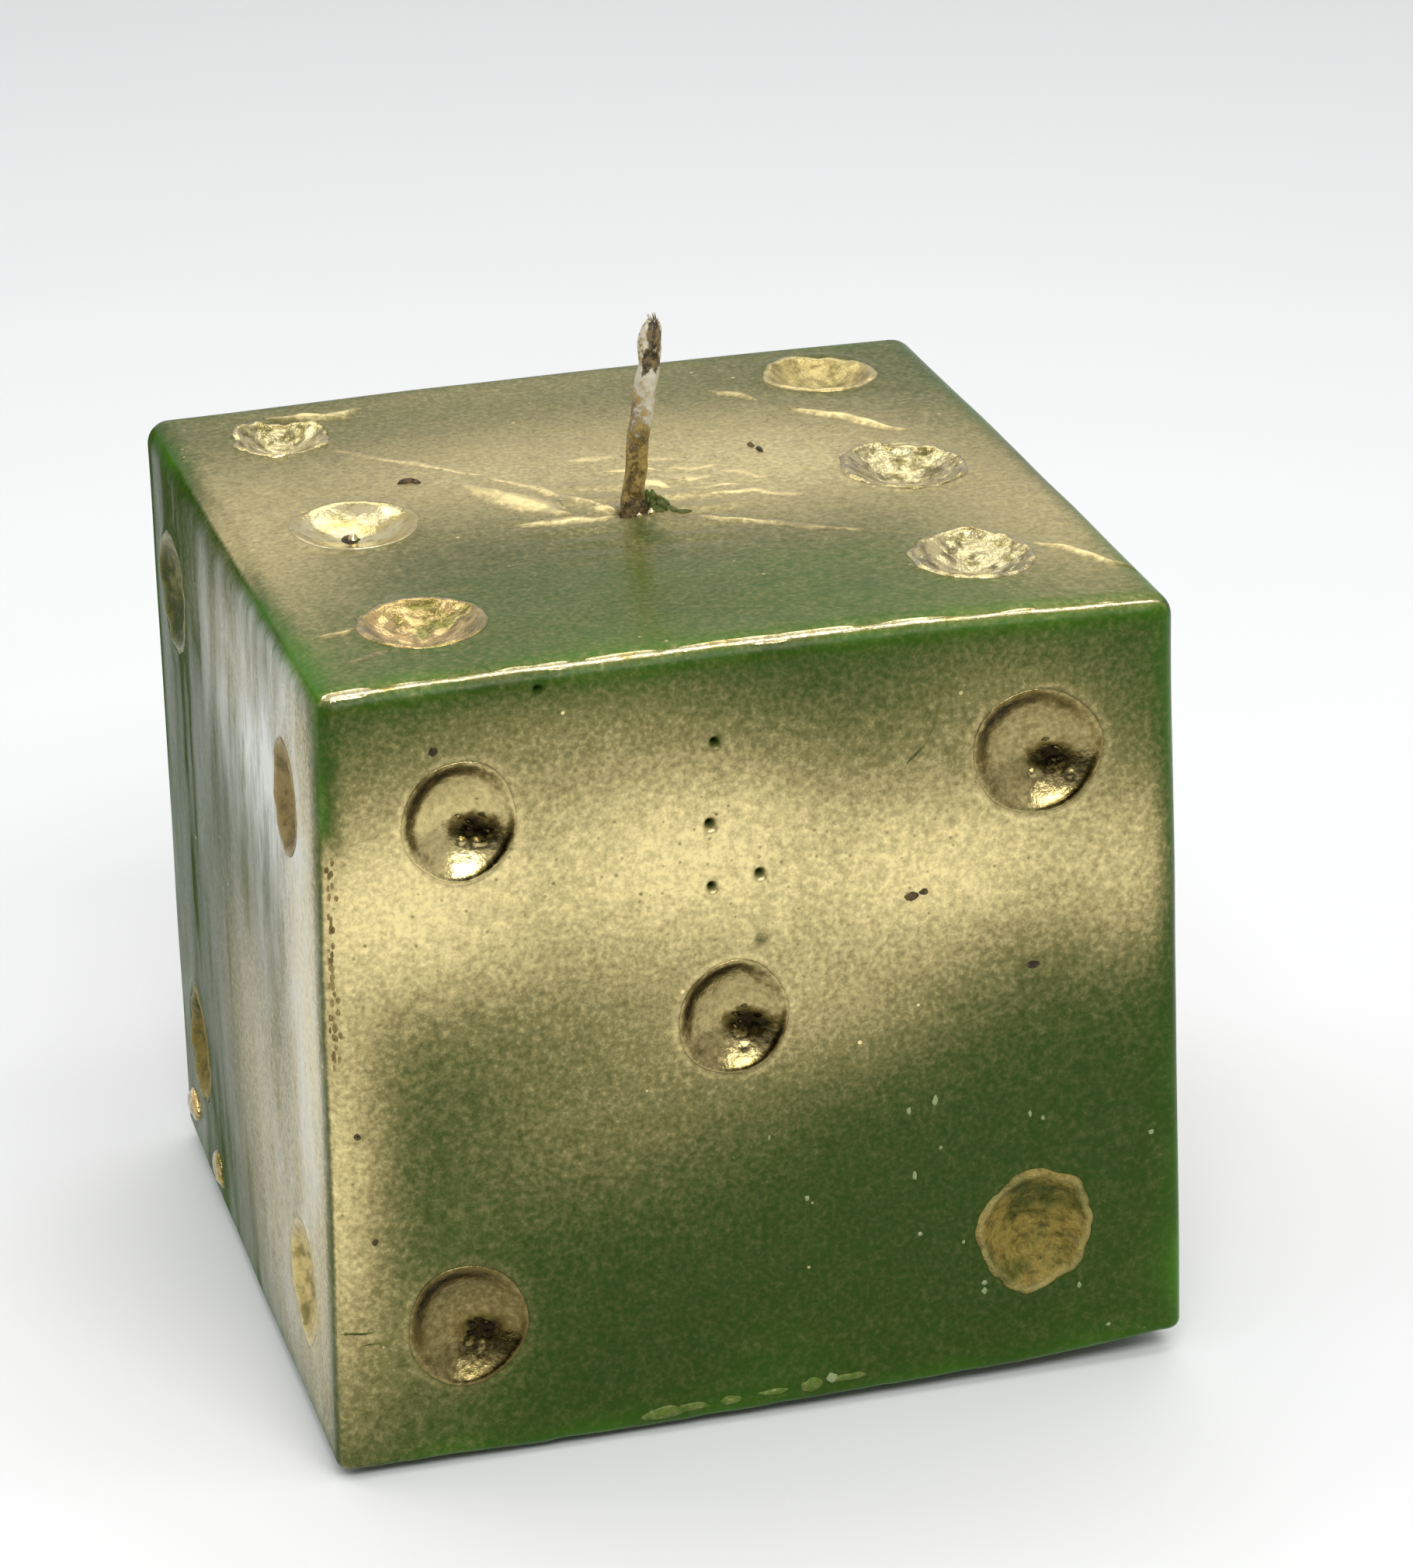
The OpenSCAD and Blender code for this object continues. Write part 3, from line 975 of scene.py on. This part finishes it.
def wick():
    """Straight in the wax, bent to the right above it, lumpy with wax, and frayed at the tip."""
    tip_x = wick_high[0] - WICK_R * 0.6 - WICK_AT[0]
    free = wick_high[2] - HEIGHT
    buried = np.linspace(0.3, HEIGHT - 3, 12)
    heights = np.concatenate([buried, np.arange(HEIGHT - 2, wick_high[2] - 0.9, 0.16)])
    t = np.clip((heights - HEIGHT) / free, 0, 1)
    lean = tip_x * (0.75 * t + 0.5 * smooth(t * 1.5 - 0.1) * t) / 1.25
    path = xyz(WICK_AT[0] + lean, WICK_AT[1], heights)

    def radius(k, angle):
        z = heights[k]
        ring = xyz(np.cos(angle), np.sin(angle), z * 0.9)
        free_part = smooth((z - HEIGHT + 1) / 1.5)
        strand = 0.05 * np.cos(angle * 3 + z * 1.7) * free_part
        lump = 0.13 * noise(ring, 1.1, 21, 2) * free_part
        neck = 0.12 * hump(z - HEIGHT - 0.5, 1.2)
        taper = 1 - 0.5 * smooth((z - wick_high[2] + 1.8) / 1.1)
        return (WICK_R * 0.93 + strand + lump + neck) * taper

    spokes = 32
    points, faces = tube(path, radius, spokes)
    # The cotton shows dark through the wax down the middle of the tip, and it is darker round the foot.
    turn = np.append(np.tile(turns(spokes), len(path)), (0, 0))
    core = 1 - smooth((abs(np.cos(turn)) - 0.55) * 4)
    tip = smooth((points[:, 2] - wick_high[2] + 5.4) / 1.6)
    burnt = tip * (0.3 + 0.55 * core + 1.1 * noise(points * (1, 1, 0.4), 0.9, 31, 3))
    foot = hump(points[:, 2] - HEIGHT - 0.4, 1.3) * (0.85 + 0.8 * noise(points, 0.7, 33))
    burnt = np.maximum(burnt, foot)
    fibres = 14
    rng = np.random.default_rng(7)
    for _ in range(fibres):
        start = path[-1] + rng.normal(0, 0.22, 3) * (1, 1, 0.5) - (0, 0, 0.5)
        reach = rng.uniform(0.6, 1.35)
        drift = rng.normal(0, 0.22, 2)
        steps = np.linspace(0, 1, 6)
        fibre = start + xyz(drift[0] * steps**2, drift[1] * steps**2, reach * steps)
        more, sides = tube(fibre, lambda k, a: (0.13 - 0.022 * k) + 0 * a, 6)
        faces += shifted(sides, len(points))
        points = np.vstack([points, more])
        burnt = np.concatenate([burnt, np.full(len(more), rng.uniform(0.0, 0.9))])
    stain = 1 - smooth((points[:, 2] - HEIGHT) / (free * 0.75))
    data = solid("waxed_wick", [(points, faces)])
    write(data, "burnt", np.clip(burnt, 0, 1))
    write(data, "stain", stain)
    piece("waxed_wick", data, COTTON, "wick_cotton", "wick")


def blob(face, place, size, seed=0):
    """A lump that sits on a face: (u, v) of its middle, and its half sizes along, up and out."""
    spokes, rings = 20, 10
    angle = np.tile(turns(spokes), rings)
    tilt = np.repeat(np.arange(rings) * math.pi / 2 / rings, spokes)
    ball = xyz(np.cos(tilt) * np.cos(angle), np.cos(tilt) * np.sin(angle), np.sin(tilt))
    ball = np.vstack([ball, [[0, 0, 1]]])
    ball = ball * (1 + 0.4 * noise(ball * 1.5 + seed * 7.3, 1, 51, 2))[:, None]
    u, v = place[0] + ball[:, 0] * size[0], place[1] + ball[:, 1] * size[1]
    base = relief(face, u, v)
    top = on_block(face, u, v, base + ball[:, 2] * size[2] - 0.03)
    under = on_block(face, u, v, base - 0.12)
    return closed(top, under, spokes, rings)


def fold(face, start, end, half_width, height, blunt=0.6, wander=1.0):
    """A long low fold that tapers to nothing at both ends, and the share of gold on it."""
    (u0, v0), (u1, v1) = start, end
    length = math.hypot(u1 - u0, v1 - v0)
    steps, across = max(int(length / 0.2), 8), 13
    t, x = np.meshgrid(np.linspace(0, 1, steps), np.linspace(-2.1, 2.1, across), indexing="ij")
    t, x = t.ravel(), x.ravel()
    along = t * length
    taper = np.sin(math.pi * np.clip(t, 0.01, 0.99)) ** blunt
    uneven = 0.8 + 0.35 * noise(xyz(along + u0, v0), 1.6, 61, 2)
    width = half_width * taper * (0.85 + 0.45 * noise(xyz(along, 0.0, v0), 2.6, 63, 2))
    aside = wander * (0.22 * np.sin(along * 0.9 + u0) + 0.08 * np.sin(along * 2.3 + v0)) + x * width
    u = u0 + (u1 - u0) * t - (v1 - v0) / length * aside
    v = v0 + (v1 - v0) * t + (u1 - u0) / length * aside
    rise = taper * uneven * np.exp(-(x**2))
    base = relief(face, u, v)
    top = on_block(face, u, v, base + height * rise - 0.015)
    under = on_block(face, u, v, base - 0.07)
    count = len(u)
    index = np.arange(count).reshape(steps, across)
    faces = [
        (index[i, j], index[i, j + 1], index[i + 1, j + 1], index[i + 1, j])
        for i in range(steps - 1)
        for j in range(across - 1)
    ]
    below = shifted([reversed(f) for f in faces], count)
    border = list(index[:, 0]) + list(index[-1, 1:]) + list(index[-2::-1, -1]) + list(index[0, -2:0:-1])
    after = border[1:] + border[:1]
    sides = [(a, b, count + b, count + a) for a, b in zip(border, after)]
    gold = np.tile(mist(face, u, v) + (height + 0.15) * rise, 2)
    faces = [tuple(int(i) for i in reversed(f)) for f in faces + below + sides]
    return (np.vstack([top, under]), faces), gold


def edge_bead():
    """The line of thick wet gold along the edge between the top and the front."""
    along = -HALF_W + 0.35
    runs = [
        ((-29.4, along), (29.2, along), 0.5, 0.03, 0.15, 0.35),
        ((-29.7, along), (-25.5, along + 0.1), 0.7, 0.05, 0.4, 0.3),
    ]
    folds("edge_bead", "top", runs, PAINTS["mirror"], "gold_paint", 1.0)


def folds(name, face, runs, material, slot, least=0.0):
    made = [fold(face, *run) for run in runs]
    data = solid(name, [shape for shape, gold in made])
    write(data, "mist", np.clip(np.concatenate([gold for shape, gold in made]), least, 1))
    piece(name, data, material, slot)


def bits(name, blobs, material, slot, gold=0.0, thin=0.7):
    data = solid(name, [blob(*b, seed) for seed, b in enumerate(blobs)])
    write(data, "mist", np.full(len(data.vertices), gold))
    write(data, "thin", np.full(len(data.vertices), thin))
    piece(name, data, material, slot)


def by_wick(x, y, size):
    """A blob on the top, placed from the foot of the wick."""
    return "top", (WICK_AT[0] + x, WICK_AT[1] + y), size


def flash_and_flecks(rng):
    """Wax that ran under the mould, and flecks of scraped wax low on the front."""
    flash = [
        ("front", (u, -HALF_H + 1.3 + 0.12 * k), (rng.uniform(0.7, 1.7), rng.uniform(0.25, 0.6), 0.18))
        for k, u in enumerate((-7.4, -5.2, -2.6, 0.4, 3.1, 5.6))
    ]
    bits("wax_flash", flash, WAX, "green_wax", 0.35, 0.6)
    flecks = []
    for _ in range(18):
        place = (rng.uniform(0, 28), rng.uniform(-27, -6))
        size = rng.uniform(0.1, 0.22)
        flecks.append(("front", place, (size, size * rng.uniform(0.8, 2), 0.12)))
    flecks.append(("front", (4.6, -26.7), (0.35, 0.45, 0.3)))
    bits("wax_flecks", flecks, PALE_WAX, "green_wax")


def drops():
    """Two drops of paint that ran down the left."""
    runs = [
        ("left", (-26, 3.7 - HALF_H), (1.9, 1.2, 0.5)),
        ("left", (-15, 3.2 - HALF_H), (1.6, 1.3, 0.55)),
    ]
    bits("paint_drops", runs, PAINTS["amber"], "gold_paint")


def dirt(rng):
    """Dark crumbs on the top and the front, and grains along the edge between the left and the front."""
    crumbs = [
        ("top", (-14.6, 9), (0.7, 0.25, 0.3)),
        ("top", (-13.9, 8.7), (0.3, 0.4, 0.25)),
        ("top", (11.0, 8.2), (0.22, 0.5, 0.25)),
        ("top", (11.3, 7.0), (0.22, 0.6, 0.25)),
        ("front", (10.7, 37.9 - HALF_H), (0.5, 0.3, 0.12)),
        ("front", (11.6, 38.1 - HALF_H), (0.35, 0.25, 0.1)),
        ("front", (19.3, 31.5 - HALF_H), (0.5, 0.3, 0.12)),
        # Painted shade: a dark crumb that stands in for the dark of a pinhole, which the mesh has no hole
        # for.
        ("front", (-22.0, 23.9), (0.3, 0.34, 0.1)),
        ("front", (-28, 25.7 - HALF_H), (0.25, 0.25, 0.15)),
        ("front", (-27, 17.7 - HALF_H), (0.25, 0.25, 0.15)),
        ("top", (-20.2, 2.6), (0.7, 0.8, 0.3)),
        by_wick(-0.7, -0.9, (0.4, 0.3, 0.3)),
        by_wick(0.7, -1.0, (0.6, 0.35, 0.3)),
        by_wick(2.0, 0.2, (0.9, 0.3, 0.25)),
    ]
    bits("crumbs", crumbs, PAINTS["dirtied"], "gold_paint")
    grains = []
    for _ in range(56):
        place = (-29.3 + rng.normal(0, 0.22), rng.uniform(2, 17))
        grains.append(("front", place, (0.14, 0.24, 0.13)))
    bits("edge_grains", grains, PAINTS["brown"], "gold_paint")


def beads():
    """Beads of gold in a pip on the top and at the foot of the wick."""
    spots = [
        ("top", (-20.1, 2.5), (0.4, 0.42, 0.62)),
        by_wick(0.1, -1.3, (0.2, 0.2, 0.35)),
        by_wick(0.9, -1.5, (0.28, 0.25, 0.4)),
    ]
    bits("gold_beads", spots, PAINTS["mirror"], "gold_paint")


def drip():
    """Wax that ran down the wick and away from its foot."""
    lumps = [
        by_wick(0.9, 0.3, (0.45, 0.45, 1.1)),
        by_wick(1.3, -0.3, (0.4, 0.4, 0.55)),
        by_wick(1.5, 0.5, (0.45, 0.4, 0.75)),
        by_wick(1.9, -0.5, (0.5, 0.35, 0.4)),
        by_wick(2.2, 0.2, (0.45, 0.4, 0.45)),
        by_wick(2.7, -0.4, (0.5, 0.3, 0.3)),
        by_wick(3.4, -0.6, (0.6, 0.25, 0.2)),
        by_wick(1.3, -1.1, (0.6, 0.3, 0.3)),
    ]
    bits("wick_drip", lumps, WAX, "green_wax", 0.3, 0.0)


def leftovers():
    """What the making left on the block."""
    rng = np.random.default_rng(5)
    flash_and_flecks(rng)
    drops()
    dirt(rng)
    beads()
    drip()


wax_block()
for pip in PIPS:
    paint_skin(pip)
wick()
folds("folds", "top", FOLDS, WAX, "green_wax")
edge_bead()
folds("scratches", "front", SCRATCHES, PAINTS["olive"], "gold_paint")
leftovers()
for name, material in (("base_top_up", WAX), ("wick_sustainer", STEEL)):
    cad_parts[name].material_slots[0].material = material


# ---- floor, lights and camera
def floor():
    bpy.ops.mesh.primitive_circle_add(vertices=96, radius=3.0, fill_type="NGON")
    made = bpy.context.object
    made.name = "floor"
    g = new_material("pale_floor")
    near = g.blend(g.noise(60), (0.81, 0.82, 0.825), (0.84, 0.845, 0.845))
    # Painted shade: it falls off a little away from the candle, as paper does outside the lights.
    away = g.ramp(g.distance(), 0.1, 0.5)
    material = g.finish(Base_Color=g.blend(away, near, (0.64, 0.65, 0.655)), Roughness=0.6)
    made.data.materials.append(material)


def toward(azimuth, elevation):
    """The way out at those angles in degrees. Azimuth 0 is in front of the block, and 90 on its right."""
    a, e = math.radians(azimuth), math.radians(elevation)
    return Vector((math.sin(a) * math.cos(e), -math.cos(a) * math.cos(e), math.sin(e)))


def area_light(name, azimuth, elevation, distance, size, radiance):
    """A soft light that faces the middle of the block."""
    back = toward(azimuth, elevation)
    data = bpy.data.lights.new(name, "AREA")
    data.shape = "RECTANGLE"
    data.size, data.size_y = size
    data.energy = radiance * math.pi * size[0] * size[1]
    lamp = new_object(name, data)
    lamp.location = Vector(MIDDLE * MM) + back * distance
    lamp.rotation_mode = "QUATERNION"
    lamp.rotation_quaternion = back.to_track_quat("Z", "Y")


def surroundings():
    """A pale room, dark up to eye height on the side in front of the candle and a little to its left."""
    pale, dark = 0.6, 0.04
    world = bpy.data.worlds.new("studio")
    bpy.context.scene.world = world
    g = Graph(world, "Background", "Generated")
    split = g.node("SeparateXYZ")
    g.put(split.inputs[0], g.place)
    height = split.outputs["Z"]
    facing = g.node("VectorMath")
    facing.operation = "DOT_PRODUCT"
    facing.inputs[1].default_value = (-0.38, -0.92, 0)
    g.put(facing.inputs[0], g.place)
    ahead = g.ramp(facing.outputs["Value"], 0.62, 0.92)
    shaded = g.maths("MULTIPLY", ahead, g.ramp(height, 0.2, 0.5, 1, 0))
    level = g.maths("MULTIPLY", g.ramp(shaded, 0, 1, pale, dark), g.ramp(height, 0.1, 0.9, 1, 1.15))
    colour = g.node("CombineColor")
    for socket in colour.inputs:
        g.put(socket, level)
    g.finish(Color=colour.outputs[0], Strength=1.0)


CAMERA_AT = (-109.7, -440.0, 219.2)
CAMERA_AZIMUTH = -14.56
CAMERA_ELEVATION = 22.0
CAMERA_ROLL = -1.97


def camera():
    """Above the front, a little to the left, and turned a little about its own axis."""
    roll = math.radians(CAMERA_ROLL)
    back = toward(CAMERA_AZIMUTH, CAMERA_ELEVATION)
    level = Vector((0, 0, 1)).cross(back).normalized()
    upright = back.cross(level)
    right = level * math.cos(roll) + upright * math.sin(roll)
    up = upright * math.cos(roll) - level * math.sin(roll)
    data = bpy.data.cameras.new("camera")
    data.sensor_width = 36
    data.lens = 156.7
    made = new_object("camera", data)
    turn = Matrix((right, up, back)).transposed().to_4x4()
    made.matrix_world = Matrix.Translation(Vector(CAMERA_AT) * MM) @ turn
    bpy.context.scene.camera = made


floor()
surroundings()
area_light("back_light", 160, 58, 0.7, (0.5, 0.4), 1.2)
area_light("over_light", 20, 72, 0.7, (0.6, 0.09), 4.4)
area_light("front_light", 0, 43, 0.7, (0.5, 0.22), 7.5)
area_light("left_light", -128, 48, 0.6, (0.3, 0.3), 1.6)
camera()
bpy.context.scene.view_settings.view_transform = "Standard"
